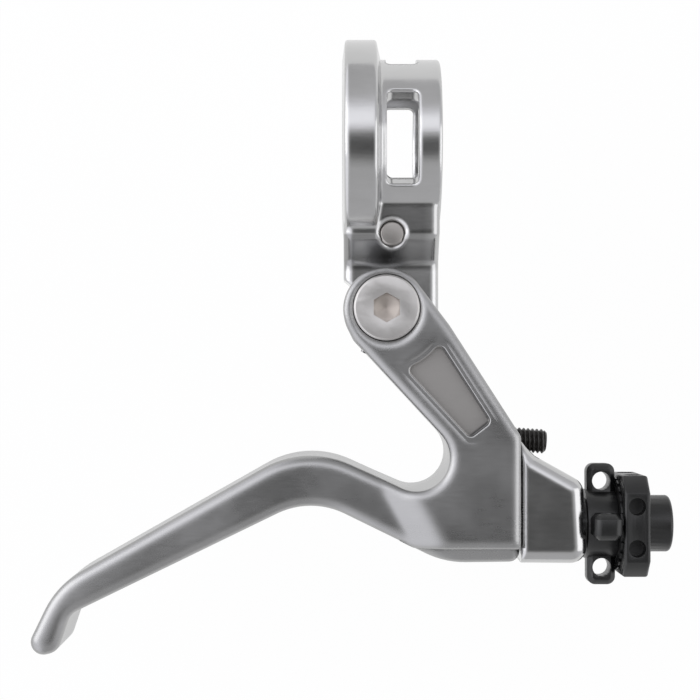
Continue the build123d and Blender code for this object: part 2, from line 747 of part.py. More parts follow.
# Return spring: one leg in the knuckle's slot, the other on the end of the lever's web
spring_turns = 2 - spring_leg_angle / 360
with BuildPart() as return_spring:
    with BuildLine():
        coil = Helix(
            pitch=spring_rise / spring_turns,
            height=spring_rise,
            radius=spring_mean_radius,
            center=(pivot_x, pivot_y, spring_low_z),
        ).rotate(Axis((pivot_x, pivot_y, 0), (0, 0, 1)), spring_leg_angle)
    with BuildSketch(Plane(origin=coil @ 0, z_dir=coil % 0)):
        Circle(spring_wire_radius)
    sweep(path=coil)
    low_end = coil @ 0
    high_end = coil @ 1
    with Locations(low_end, high_end):
        Sphere(spring_wire_radius)
    leg_angle = radians(spring_leg_angle)
    with BuildSketch(Plane(origin=low_end, z_dir=(cos(leg_angle), sin(leg_angle), 0))):
        Circle(spring_wire_radius)
    extrude(amount=spring_leg_reach - spring_mean_radius)
    with BuildSketch(Plane(origin=high_end, z_dir=(0, 1, 0))):
        Circle(spring_wire_radius)
    extrude(amount=spring_leg_length)
save(return_spring, "return_spring")

# Reach screw through the arm, its tip just clear of the lever's web
with BuildPart() as reach_screw:
    with Locations(screw_place):
        Cylinder(screw_radius, reach_screw_length, align=(Align.CENTER, Align.CENTER, Align.MAX))
    screw_ends = reach_screw.faces().sort_by(Axis.X)
    chamfer(screw_ends[0].edges() + screw_ends[-1].edges(), screw_chamfer)
    with BuildSketch(Plane(screw_place)):
        RegularPolygon(reach_screw_socket / 2, 6, major_radius=False)
    extrude(amount=-reach_screw_socket_depth, mode=Mode.SUBTRACT)
save(reach_screw, "reach_screw")

# Cable adjuster: each piece is drawn along the cable, Z pointing out of its front hole or lobe
def cable_plane(turn):
    """Plane on the cable's axis, turned about it from the lever's front."""
    return Plane(
        origin=(0, adjuster_y, 0),
        x_dir=(1, 0, 0),
        z_dir=(0, sin(radians(turn)), cos(radians(turn))),
    )


def along_cable(start):
    """Place on the cable's axis, looking towards the housing."""
    return Location((start, 0, 0), (0, 90, 0))


start_face = (Align.CENTER, Align.CENTER, Align.MIN)
tail_end = knob_start + knob_width + tail_length
with BuildPart(cable_plane(knob_turn)) as adjuster_barrel:
    with Locations(along_cable(knob_start - stem_length)):
        Cylinder(adjuster_thread_radius, stem_length, align=start_face)
    with BuildPart(mode=Mode.PRIVATE) as knob:
        with Locations((knob_start, 0, 0)):
            Box(knob_width, 2 * knob_reach, 2 * knob_reach, align=(Align.MIN, Align.CENTER, Align.CENTER))
        chamfer(knob.edges().filter_by(Axis.X), knob_corner_cut)
        fillet(knob.faces().filter_by(Axis.X).edges(), knob_rounding)
    add(knob.part)
    with Locations(along_cable(knob_start + knob_width)):
        Cylinder(tail_radius, tail_length, align=start_face)
    fillet(adjuster_barrel.faces().sort_by(Axis.X)[-1].edges(), tail_rounding)
    for side in range(4):
        with Locations(Location((knob_start + knob_hole_lead, 0, 0), (side * 90, 0, 0))):
            with Locations(
                (0, knob_hole_spread, knob_reach - knob_hole_depth),
                (0, -knob_hole_spread, knob_reach - knob_hole_depth),
            ):
                Cylinder(knob_hole_radius, 2 * knob_hole_depth, mode=Mode.SUBTRACT, align=start_face)
    with Locations(along_cable(0)):
        Cylinder(cable_hole_radius, far, mode=Mode.SUBTRACT, align=start_face)
    with Locations(along_cable(tail_end - housing_seat_depth)):
        Cylinder(housing_seat_radius, far, mode=Mode.SUBTRACT, align=start_face)
save(adjuster_barrel, "adjuster_barrel")

with BuildPart(cable_plane(nut_turn)) as adjuster_lock_nut:
    with Locations(along_cable(nut_hub_start)):
        Cylinder(nut_hub_radius, nut_start + nut_width - nut_hub_start, align=start_face)
    for lobe in range(4):
        with BuildPart(mode=Mode.PRIVATE) as one_lobe:
            with Locations((nut_start, 0, 0)):
                Box(nut_width, lobe_thickness, lobe_reach,
                    align=(Align.MIN, Align.CENTER, Align.MIN))
            top = one_lobe.faces().sort_by(Axis.Z)[-1]
            fillet(top.edges().filter_by(Axis.Y), lobe_corner)
            chamfer(one_lobe.faces().sort_by(Axis.Z)[-1].edges().filter_by(Axis.X), lobe_end_bevel)
            with Locations(Location((nut_start + nut_width / 2, 0, lobe_hole_reach), (90, 0, 0))):
                Cylinder(lobe_hole_radius, 2 * lobe_thickness, mode=Mode.SUBTRACT)
        with Locations(Location((0, 0, 0), (lobe * 90, 0, 0))):
            add(one_lobe.part)
    with Locations(along_cable(0)):
        Cylinder(adjuster_thread_radius + running_clearance, far, mode=Mode.SUBTRACT, align=start_face)
save(adjuster_lock_nut, "adjuster_lock_nut")

with BuildPart(cable_plane(0)) as adjuster_washer:
    with Locations(along_cable(disc_start)):
        Cylinder(disc_radius, disc_width, align=start_face)
        Cylinder(disc_bore, disc_width, mode=Mode.SUBTRACT, align=start_face)
    for tooth in range(disc_teeth):
        with Locations(Location((disc_start + disc_width / 2, 0, 0), (tooth * 360 / disc_teeth, 0, 0))):
            with Locations((0, 0, disc_radius)):
                Box(2 * disc_width, disc_gap, disc_gap, mode=Mode.SUBTRACT)
save(adjuster_washer, "adjuster_washer")
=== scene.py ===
import logging
import math
from dataclasses import dataclass, field
from enum import Enum
from typing import Any, Iterable, Optional, Union

import bmesh
import bpy
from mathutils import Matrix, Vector


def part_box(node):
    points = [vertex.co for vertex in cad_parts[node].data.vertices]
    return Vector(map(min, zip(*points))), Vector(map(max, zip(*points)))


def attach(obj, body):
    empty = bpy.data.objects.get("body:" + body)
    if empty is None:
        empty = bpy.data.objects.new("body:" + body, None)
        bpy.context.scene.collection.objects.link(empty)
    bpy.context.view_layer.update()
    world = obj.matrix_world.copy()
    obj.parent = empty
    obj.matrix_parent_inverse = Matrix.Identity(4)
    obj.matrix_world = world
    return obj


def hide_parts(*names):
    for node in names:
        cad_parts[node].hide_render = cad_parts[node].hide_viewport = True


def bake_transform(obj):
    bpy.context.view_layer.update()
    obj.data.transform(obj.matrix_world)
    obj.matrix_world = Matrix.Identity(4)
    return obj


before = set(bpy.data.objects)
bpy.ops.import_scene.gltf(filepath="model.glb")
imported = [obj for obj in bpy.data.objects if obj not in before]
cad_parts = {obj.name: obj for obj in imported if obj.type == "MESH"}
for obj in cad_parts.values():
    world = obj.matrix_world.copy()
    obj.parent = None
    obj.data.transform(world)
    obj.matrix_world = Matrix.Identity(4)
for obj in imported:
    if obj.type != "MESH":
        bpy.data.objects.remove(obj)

MM = 0.001
LOG = logging.getLogger("brake_lever")
Flat = tuple[float, float]
Point = tuple[float, float, float]
Number = Union[int, float]
Term = Union["Signal", Number]
EDGE_SAMPLES = 16
GRAIN_DEPTH_MM = 0.006


class Slot(Enum):
    """The record's material slots, one for each finish of the lever."""

    BRACKET = "bracket_metal"
    LEVER = "lever_metal"
    STAINLESS = "stainless"
    SCREW = "black_screw"
    ANODISED = "black_anodised"
    BEARING = "bearing_steel"
    CAGE = "cage_plastic"
    SHIELD = "shield_metal"
    SPRING = "spring_steel"


class Body(Enum):
    """The bodies that the pieces ride on."""

    BRACKET = "bracket"
    LEVER = "lever"
    SCREW = "reach_screw_body"
    ADJUSTER = "adjuster"
    LOCK_NUT = "lock_nut"


class Signal:
    """One output of a shader node, used in Python expressions."""

    def __init__(self, graph: "Graph", socket: bpy.types.NodeSocket) -> None:
        """Wrap a socket.

        Args:
            graph: the material's graph that new nodes go into.
            socket: the node's output.
        """
        self.graph = graph
        self.socket = socket

    def _math(self, operation: str, first: Term, second: Term = 0.0) -> "Signal":
        """Add one Math node.

        Args:
            operation: the node's operation.
            first: its first value.
            second: its second value.

        Returns:
            The node's result.
        """
        return self.graph.node("ShaderNodeMath", {"operation": operation}, {0: first, 1: second})

    def __add__(self, other: Term) -> "Signal":
        """Sum with another value."""
        return self._math("ADD", self, other)

    def __radd__(self, other: Term) -> "Signal":
        """Sum with a number on the left."""
        return self._math("ADD", other, self)

    def __sub__(self, other: Term) -> "Signal":
        """Difference from another value."""
        return self._math("SUBTRACT", self, other)

    def __rsub__(self, other: Term) -> "Signal":
        """Difference of a number from this value."""
        return self._math("SUBTRACT", other, self)

    def __mul__(self, other: Term) -> "Signal":
        """Product with another value."""
        return self._math("MULTIPLY", self, other)

    def __rmul__(self, other: Term) -> "Signal":
        """Product with a number on the left."""
        return self._math("MULTIPLY", other, self)

    def __truediv__(self, other: Term) -> "Signal":
        """Quotient by another value."""
        return self._math("DIVIDE", self, other)

    def __abs__(self) -> "Signal":
        """Size without sign."""
        return self._math("ABSOLUTE", self)

    def sine(self) -> "Signal":
        """Sine of this value in radians."""
        return self._math("SINE", self)

    def cosine(self) -> "Signal":
        """Cosine of this value in radians."""
        return self._math("COSINE", self)

    def root(self) -> "Signal":
        """Square root."""
        return self._math("SQRT", self)

    def least(self, other: Term) -> "Signal":
        """The smaller of this and another value."""
        return self._math("MINIMUM", self, other)

    def above(self, limit: Number) -> "Signal":
        """1 above a limit, 0 below it."""
        return self._math("GREATER_THAN", self, limit)

    def clamped(self) -> "Signal":
        """This value kept between 0 and 1."""
        return self._math("MAXIMUM", self.least(1.0), 0.0)

    def step(self, low: Number, high: Number) -> "Signal":
        """Smooth step from 0 at low to 1 at high.

        Args:
            low: the value where the result is 0.
            high: the value where it is 1.

        Returns:
            The stepped value.
        """
        return self.graph.node(
            "ShaderNodeMapRange",
            {"interpolation_type": "SMOOTHSTEP"},
            {"Value": self, "From Min": low, "From Max": high},
        )


class Graph:
    """A material's node tree, built from Python."""

    def __init__(self, tree: bpy.types.NodeTree) -> None:
        """Start from an emptied tree."""
        self.tree = tree
        tree.nodes.clear()

    def add(
        self,
        kind: str,
        settings: Optional[dict[str, Any]] = None,
        inputs: Optional[dict[Union[int, str], Any]] = None,
    ) -> bpy.types.Node:
        """Add any node.

        Args:
            kind: the node's type name.
            settings: its properties, set first.
            inputs: numbers, colours or signals for its sockets.

        Returns:
            The new node.
        """
        made = self.tree.nodes.new(kind)
        for name, value in (settings or {}).items():
            setattr(made, name, value)
        for key, value in (inputs or {}).items():
            if isinstance(value, Signal):
                self.tree.links.new(value.socket, made.inputs[key])
            else:
                made.inputs[key].default_value = value
        return made

    def node(
        self,
        kind: str,
        settings: Optional[dict[str, Any]] = None,
        inputs: Optional[dict[Union[int, str], Any]] = None,
        output: Union[int, str] = 0,
    ) -> Signal:
        """Add any node and take one of its outputs.

        Args:
            kind: the node's type name.
            settings: its properties.
            inputs: what its sockets get.
            output: the output's place or name.

        Returns:
            That output as a signal.
        """
        return Signal(self, self.add(kind, settings, inputs).outputs[output])

    def place(self) -> Signal:
        """Object coordinates in millimetres."""
        coordinates = self.node("ShaderNodeTexCoord", output="Object")
        return self.node(
            "ShaderNodeVectorMath", {"operation": "SCALE"}, {0: coordinates, "Scale": 1 / MM}
        )

    def axes(self, vector: Signal) -> tuple[Signal, Signal, Signal]:
        """Split a vector into its three values."""
        split = self.add("ShaderNodeSeparateXYZ", None, {0: vector})
        return tuple(Signal(self, out) for out in split.outputs)

    def stretched(self, vector: Signal, scale: Point) -> Signal:
        """A vector multiplied axis by axis."""
        return self.node("ShaderNodeVectorMath", {"operation": "MULTIPLY"}, {0: vector, 1: scale})

    def noise(self, vector: Signal, scale: float, detail: float = 3.0) -> Signal:
        """Plain noise between 0 and 1.

        Args:
            vector: where it is read.
            scale: cells per millimetre.
            detail: its octaves.

        Returns:
            The noise value.
        """
        return self.node(
            "ShaderNodeTexNoise", None, {"Vector": vector, "Scale": scale, "Detail": detail}
        )

    def blend(self, factor: Signal, first: Any, second: Any) -> Signal:
        """Mix two colours.

        Args:
            factor: 0 for the first, 1 for the second.
            first: colour or signal.
            second: colour or signal.

        Returns:
            The mixed colour.
        """
        return self.node(
            "ShaderNodeMix", {"data_type": "RGBA"}, {0: factor, 6: first, 7: second}, output=2
        )

    def bump(self, height: Signal, depth_mm: float, normal: Optional[Signal] = None) -> Signal:
        """Normal bent by a height given from 0 to 1.

        Args:
            height: the height signal.
            depth_mm: what a height of 1 stands for.
            normal: the normal to bend, or None for the surface's own.

        Returns:
            The bent normal.
        """
        inputs = {"Height": height, "Distance": depth_mm * MM, "Strength": 1.0}
        if normal is not None:
            inputs["Normal"] = normal
        return self.node("ShaderNodeBump", None, inputs)

    def softened(self, radius_mm: float) -> Signal:
        """The surface's normal, rounded over edges."""
        return self.node("ShaderNodeBevel", {"samples": EDGE_SAMPLES}, {"Radius": radius_mm * MM})

    def from_line(self, x: Signal, y: Signal, point: Flat, inward: Flat) -> Signal:
        """Distance from a line in the XY plane.

        Args:
            x: where it is read.
            y: where it is read.
            point: a point on the line.
            inward: the line's unit normal, towards the side that counts as positive.

        Returns:
            The distance in millimetres.
        """
        return (x - point[0]) * inward[0] + (y - point[1]) * inward[1]

    def from_point(self, x: Signal, y: Signal, point: Flat) -> Signal:
        """Distance from a point in the XY plane."""
        dx, dy = x - point[0], y - point[1]
        return (dx * dx + dy * dy).root()

    def surface(self, constants: dict[str, Any], varying: dict[str, Signal]) -> None:
        """End the tree in a Principled shader.

        Args:
            constants: socket values that are the same all over.
            varying: signals for the sockets that change over the surface.
        """
        shader = self.node("ShaderNodeBsdfPrincipled", None, {**constants, **varying})
        self.add("ShaderNodeOutputMaterial", None, {"Surface": shader})


def grey(level: float, warmth: float = 0.0) -> tuple[float, float, float, float]:
    """A near-neutral colour in linear light.

    Args:
        level: its brightness.
        warmth: above 0 is warmer, below 0 cooler.

    Returns:
        The colour with alpha.
    """
    return (level * (1 + warmth), level, level * (1 - warmth), 1.0)


@dataclass(frozen=True)
class PolishedForging:
    """Anodised aluminium forging, polished along its length and a little cloudy."""

    name: str
    slot: Slot
    tone: float
    pale_tone: float
    warmth: float
    gloss: float
    dull: float
    grain: Point
    soft_edge_mm: float
    pocket_floor_mm: float = 0.0
    crisp_edge_mm: float = 0.35
    # How strongly painted shade darkens the neck plate below the ring, 0 for none.
    painted_neck_shade: float = 0.0
    neck_rows_mm: Point = (-20.0, -10.0, -14.5)
    neck_hole_mm: Flat = (0.05, -14.6)
    pivot_mm: Flat = (-0.8, -26.05)
    pocket_left: tuple[Flat, Flat] = ((-5.9, -31.03), (0.734, 0.679))
    pocket_right: tuple[Flat, Flat] = ((8.9, -28.75), (-0.8406, -0.5416))
    pocket_end: tuple[Flat, Flat] = ((12.06, -46.29), (-0.611, 0.792))

    def material(self) -> bpy.types.Material:
        """Build the material.

        Returns:
            The finished material.
        """
        made = bpy.data.materials.new(self.name)
        made.use_nodes = True
        graph = Graph(made.node_tree)
        place = graph.place()
        clouds = graph.noise(place, 0.07, 4.0).step(0.3, 0.7)
        grain = graph.noise(graph.stretched(place, self.grain), 1.0, 3.0)
        specks = graph.noise(place, 6.0, 2.0).step(0.62, 0.78)
        tint = graph.blend(clouds * 0.6 + grain * 0.4, grey(self.tone, self.warmth),
                           grey(self.pale_tone, self.warmth))
        rough = self.gloss + (self.dull - self.gloss) * clouds + 0.05 * (grain - 0.5) + 0.03 * specks
        height = grain * 0.7 + graph.noise(place, 0.35, 2.0) * 0.3
        soft = graph.softened(self.soft_edge_mm)
        # Painted shade: the neck plate is blended towards black, standing in for a dark reflection.
        if self.painted_neck_shade:
            tint = graph.blend(self.neck(graph, place) * self.painted_neck_shade, tint, grey(0.0))
        if self.pocket_floor_mm:
            soft, tint, rough = self.pocket(graph, place, soft, tint, rough)
        graph.surface(
            {"Metallic": 1.0},
            {"Base Color": tint, "Roughness": rough, "Normal": graph.bump(height, GRAIN_DEPTH_MM, soft)},
        )
        return made

    def neck(self, graph: Graph, place: Signal) -> Signal:
        """Where painted shade darkens the plate between the ring and the knuckle, less so towards its
        right edge.

        Args:
            graph: the material's graph.
            place: object coordinates in millimetres.

        Returns:
            1 on the plate and 0 elsewhere.
        """
        x, y, z = graph.axes(place)
        low, high, collar_low = self.neck_rows_mm
        below_ring = y.step(low - 0.5, low + 0.5) * (1 - y.step(high - 0.6, high))
        beside_collar = (x.step(-2.3, -1.8) + (1 - y.step(collar_low - 0.4, collar_low))).clamped()
        around_hole = graph.from_point(x, y, self.neck_hole_mm).step(2.5, 2.8)
        off_edge = 1 - x.step(4.6, 6.4)
        return below_ring * beside_collar * around_hole * (0.35 + 0.65 * off_edge) * z.step(4.0, 5.0)

    def pocket(
        self, graph: Graph, place: Signal, soft: Signal, tint: Signal, rough: Signal
    ) -> tuple[Signal, Signal, Signal]:
        """Keep the pocket's rim crisp, paint shade on its walls and a painted shadow along its floor by
        the lower and right walls, and make the floor satin and a little warm.

        Args:
            graph: the material's graph.
            place: object coordinates in millimetres.
            soft: the normal rounded over edges.
            tint: the forging's colour.
            rough: its roughness.

        Returns:
            The three signals with the pocket worked in.
        """
        x, y, z = graph.axes(place)
        depth = abs(z)
        from_left = graph.from_line(x, y, *self.pocket_left)
        from_right = graph.from_line(x, y, *self.pocket_right)
        from_pivot = graph.from_point(x, y, self.pivot_mm)
        zone = (from_left.step(2.1, 2.3) * from_right.step(1.9, 2.1)
                * from_pivot.step(9.0, 9.2) * y.step(-47.0, -46.8))
        normal = graph.add("ShaderNodeNewGeometry")
        _, _, up = graph.axes(Signal(graph, normal.outputs["Normal"]))
        floor_mm = self.pocket_floor_mm
        low = depth.step(floor_mm - 0.4, floor_mm - 0.3)
        floor = zone * low * (1 - depth.step(floor_mm + 0.1, floor_mm + 0.2))
        under_rim = 1 - depth.step(floor_mm + 1.1, floor_mm + 1.3)
        walls = zone * low * (1 - abs(up).step(0.3, 0.8)) * under_rim
        tint = graph.blend(floor, tint, grey(self.pale_tone * 0.92, 0.03))
        # Painted shade: the pocket's walls are darkened.
        tint = graph.blend(walls * 0.75, tint, grey(self.tone * 0.25))
        # Painted shadow: dark lines on the pocket floor along its lower and right walls, left out where
        # the floor is clear of them.
        from_end = graph.from_line(x, y, *self.pocket_end)
        shadow_free_floor = from_right.step(2.7, 3.0) * from_end.step(0.25, 0.6)
        tint = graph.blend(floor * (1 - shadow_free_floor) * 0.8, tint, grey(self.tone * 0.2))
        rough = rough + 0.12 * floor
        crisp = graph.softened(self.crisp_edge_mm)
        soft = graph.node("ShaderNodeMix", {"data_type": "VECTOR"}, {
            0: zone, 4: soft, 5: crisp}, output=1)
        return soft, tint, rough


@dataclass(frozen=True)
class TurnedStainless:
    """Stainless steel turned on a lathe: fine rings round the piece's own axis."""

    name: str
    slot: Slot
    centre: Flat
    tone: float
    warmth: float
    ring_mm: float
    socket_mm: float = 0.0
    face_mm: float = 0.0
    # Painted shade: the brown that the inside of the hex socket is darkened to.
    socket_shade_colour: tuple[float, float, float, float] = (0.42, 0.36, 0.31, 1.0)

    def material(self) -> bpy.types.Material:
        """Build the material.

        Returns:
            The finished material.
        """
        made = bpy.data.materials.new(self.name)
        made.use_nodes = True
        graph = Graph(made.node_tree)
        place = graph.place()
        x, y, z = graph.axes(place)
        radius = graph.from_point(x, y, self.centre)
        rings = (radius * (2 * math.pi / self.ring_mm)).sine() * 0.5 + 0.5
        uneven = graph.noise(graph.node("ShaderNodeCombineXYZ", None, {0: radius, 1: z * 0.3}), 5.0, 4.0)
        smears = graph.noise(place, 0.5, 3.0)
        tint = graph.blend(smears, grey(self.tone * 0.92, self.warmth),
                           grey(self.tone * 1.06, self.warmth))
        rough = 0.3 + 0.12 * uneven + 0.06 * smears
        # Painted shade: the inside of the hex socket is darkened to a brown.
        if self.socket_mm:
            inside = (1 - radius.step(self.socket_mm, self.socket_mm + 0.15)) * (
                1 - abs(z).step(self.face_mm - 0.2, self.face_mm - 0.05))
            tint = graph.blend(inside * 0.6, tint, self.socket_shade_colour)
            rough = rough + 0.1 * inside
        graph.surface(
            {"Metallic": 1.0},
            {"Base Color": tint, "Roughness": rough,
             "Normal": graph.bump(rings * 0.35 + uneven * 0.65, 0.01)},
        )
        return made


@dataclass(frozen=True)
class BlackFinish:
    """Black anodised or oxidised metal with a soft sheen and a faint brown or blue cast."""

    name: str
    slot: Slot
    tone: float
    warmth: float
    gloss: float
    worn: float

    def material(self) -> bpy.types.Material:
        """Build the material.

        Returns:
            The finished material.
        """
        made = bpy.data.materials.new(self.name)
        made.use_nodes = True
        graph = Graph(made.node_tree)
        place = graph.place()
        clouds = graph.noise(place, 0.3, 4.0)
        specks = graph.noise(place, 9.0, 2.0).step(0.6, 0.8)
        rubbed = graph.noise(place, 1.6, 5.0).step(0.58, 0.75)
        tint = graph.blend(clouds * 0.7 + specks * 0.3, grey(self.tone * 0.7, self.warmth),
                           grey(self.tone * 1.5, self.warmth))
        tint = graph.blend(rubbed * self.worn, tint, grey(self.tone * 4.0, self.warmth))
        rough = self.gloss + 0.12 * clouds + 0.06 * specks
        graph.surface(
            {"Metallic": 0.0, "Specular IOR Level": 0.55},
            {"Base Color": tint, "Roughness": rough,
             "Normal": graph.bump(graph.noise(place, 5.0, 3.0), 0.012)},
        )
        return made


@dataclass(frozen=True)
class PlainMetal:
    """Small inner metal pieces: ground, pressed or drawn."""

    name: str
    slot: Slot
    tone: float
    gloss: float
    metallic: float = 1.0

    def material(self) -> bpy.types.Material:
        """Build the material.

        Returns:
            The finished material.
        """
        made = bpy.data.materials.new(self.name)
        made.use_nodes = True
        graph = Graph(made.node_tree)
        place = graph.place()
        clouds = graph.noise(place, 0.9, 4.0)
        fine = graph.noise(graph.stretched(place, (1.0, 1.0, 12.0)), 3.0, 3.0)
        tint = graph.blend(clouds, grey(self.tone * 0.88), grey(self.tone * 1.06, 0.01))
        graph.surface(
            {"Metallic": self.metallic},
            {"Base Color": tint, "Roughness": self.gloss + 0.1 * clouds + 0.05 * fine,
             "Normal": graph.bump(fine, 0.006)},
        )
        return made


@dataclass
class Wardrobe:
    """Every finish once, ready to be put on pieces."""

    made: dict[Slot, bpy.types.Material] = field(default_factory=dict)
    clamp_bolt: Optional[bpy.types.Material] = None

    def build(self, pivot: Flat, clamp_bolt: Flat) -> None:
        """Make all the materials.

        Args:
            pivot: the pivot's axis in millimetres, where the turned rings are centred.
            clamp_bolt: the clamp bolt's axis.
        """
        finishes = (
            # The clamp's neck plate gets painted shade.
            PolishedForging("polished_clamp", Slot.BRACKET, 0.5, 0.58, 0.0, 0.13, 0.22,
                            (0.5, 2.0, 0.5), 1.0, painted_neck_shade=0.42),
            PolishedForging("satin_lever", Slot.LEVER, 0.34, 0.41, 0.0, 0.24, 0.32,
                            (0.4, 2.5, 0.4), 2.2, 8.2),
            TurnedStainless("turned_stainless", Slot.STAINLESS, pivot, 0.56, 0.02, 0.16, 2.3, 9.95),
            BlackFinish("oiled_black_screw", Slot.SCREW, 0.014, 0.12, 0.3, 0.12),
            BlackFinish("black_anodising", Slot.ANODISED, 0.005, -0.03, 0.27, 0.03),
            PlainMetal("ground_bearing_steel", Slot.BEARING, 0.62, 0.16),
            PlainMetal("moulded_cage", Slot.CAGE, 0.05, 0.5, 0.0),
            PlainMetal("pressed_shield", Slot.SHIELD, 0.5, 0.3),
            PlainMetal("drawn_spring_wire", Slot.SPRING, 0.34, 0.3),
        )
        for finish in finishes:
            self.made[finish.slot] = finish.material()
        self.clamp_bolt = TurnedStainless(
            "raw_clamp_bolt", Slot.STAINLESS, clamp_bolt, 0.36, 0.045, 0.3
        ).material()

    def dress(self, piece: bpy.types.Object, slot: Slot) -> None:
        """Give a piece one finish all over.

        Args:
            piece: the object.
            slot: the finish.
        """
        piece.data.materials.clear()
        piece.data.materials.append(self.made[slot])


def new_piece(name: str, mesh: bpy.types.Mesh) -> bpy.types.Object:
    """Put a mesh into the scene as an object at the origin.

    Args:
        name: the piece's name.
        mesh: its mesh, in the row frame.

    Returns:
        The object.
    """
    piece = bpy.data.objects.new(name, mesh)
    bpy.context.scene.collection.objects.link(piece)
    return piece


def run_recipe(piece: bpy.types.Object, recipe: bpy.types.NodeTree, values: dict[str, Any]) -> None:
    """Run a geometry node group on a piece and keep the plain mesh.

    Args:
        piece: the object that carries it.
        recipe: the node group.
        values: what its named inputs get.
    """
    modifier = piece.modifiers.new(recipe.name, "NODES")
    modifier.node_group = recipe
    for item in recipe.interface.items_tree:
        if item.item_type == "SOCKET" and item.in_out == "INPUT" and item.name in values:
            modifier[item.identifier] = values[item.name]
    bake_modifiers(piece)


def bake_modifiers(piece: bpy.types.Object) -> None:
    """Turn a piece with live modifiers into a plain mesh."""
    graph = bpy.context.evaluated_depsgraph_get()
    mesh = bpy.data.meshes.new_from_object(piece.evaluated_get(graph), depsgraph=graph)
    piece.modifiers.clear()
    piece.data = mesh


@dataclass
class RefinedPart:
    """A copy of a CAD node with its sharp edges broken as a maker would break them."""

    node: str
    body: Body
    slot: Slot
    edge_mm: float = 0.15
    segments: int = 2

    def build(self, wardrobe: Wardrobe) -> bpy.types.Object:
        """Copy, merge, bevel and dress the node.

        Args:
            wardrobe: the finishes.

        Returns:
            The piece that replaces the node.
        """
        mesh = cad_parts[self.node].data.copy()
        shape = bmesh.new()
        shape.from_mesh(mesh)
        bmesh.ops.remove_doubles(shape, verts=shape.verts, dist=0.5e-6)
        bmesh.ops.dissolve_degenerate(shape, dist=0.2e-6, edges=shape.edges)
        bmesh.ops.dissolve_limit(
            shape, angle_limit=math.radians(0.2), verts=shape.verts, edges=shape.edges
        )
        shape.to_mesh(mesh)
        shape.free()
        piece = new_piece(f"{self.node}_finished", mesh)
        mesh.shade_smooth()
        bevel = piece.modifiers.new("edge", "BEVEL")
        bevel.width = self.edge_mm * MM
        bevel.segments = self.segments
        bevel.limit_method = "ANGLE"
        bevel.angle_limit = math.radians(40)
        bevel.harden_normals = True
        bake_modifiers(piece)
        wardrobe.dress(piece, self.slot)
        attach(piece, self.body.value)
        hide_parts(self.node)
        return piece


@dataclass
class Clamp:
    """The bar clamp's forging with its bolt and washer."""

    def dress(self, wardrobe: Wardrobe) -> None:
        """Finish the pieces that ride on the bracket."""
        wardrobe.dress(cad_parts["clamp_bolt_washer"], Slot.STAINLESS)
        bolt = RefinedPart("clamp_bolt", Body.BRACKET, Slot.STAINLESS, 0.08).build(wardrobe)
        bolt.data.materials[0] = wardrobe.clamp_bolt
        wardrobe.dress(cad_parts["clamp_bracket"], Slot.BRACKET)


@dataclass
class Lever:
    """The lever blade with its pivot bolt and sleeve nut."""

    def dress(self, wardrobe: Wardrobe) -> None:
        """Finish the pieces that ride on the lever."""
        for name in ("pivot_bolt", "pivot_nut"):
            RefinedPart(name, Body.LEVER, Slot.STAINLESS, 0.08).build(wardrobe)
        wardrobe.dress(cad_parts["lever_blade"], Slot.LEVER)


@dataclass
class Bearings:
    """The two ball bearings, the spacers and the return spring inside the knuckle."""

    fixed_leg_mm: float = -3.72
    moving_leg_mm: float = -4.43

    def dress(self, wardrobe: Wardrobe) -> None:
        """Finish the hidden pieces."""
        for place in ("front", "rear"):
            for name in ("outer_race", "inner_race", "balls"):
                wardrobe.dress(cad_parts[f"{place}_bearing_{name}"], Slot.BEARING)
            wardrobe.dress(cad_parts[f"{place}_bearing_cage"], Slot.CAGE)
            wardrobe.dress(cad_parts[f"{place}_bearing_shields"], Slot.SHIELD)
        for name in ("bearing_spacer", "front_pivot_washer", "rear_pivot_spacer"):
            wardrobe.dress(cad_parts[name], Slot.BEARING)
        self.spring(wardrobe)

    def spring(self, wardrobe: Wardrobe) -> bpy.types.Object:
        """Copy the return spring's mesh as it stands, give it its finish and hide the CAD node.

        Args:
            wardrobe: the finishes.

        Returns:
            The piece that replaces the spring's node.
        """
        piece = new_piece("return_spring_wound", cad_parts["return_spring"].data.copy())
        wardrobe.dress(piece, Slot.SPRING)
        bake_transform(piece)
        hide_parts("return_spring")
        return piece


@dataclass
class Adjuster:
    """The cable adjuster's barrel, lock nut and toothed disc."""

    def dress(self, wardrobe: Wardrobe) -> None:
        """Finish the adjuster's pieces."""
        RefinedPart("adjuster_barrel", Body.ADJUSTER, Slot.ANODISED, 0.12).build(wardrobe)
        RefinedPart("adjuster_lock_nut", Body.LOCK_NUT, Slot.ANODISED, 0.15).build(wardrobe)
        wardrobe.dress(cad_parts["adjuster_washer"], Slot.ANODISED)
        ReachScrew().build(wardrobe)


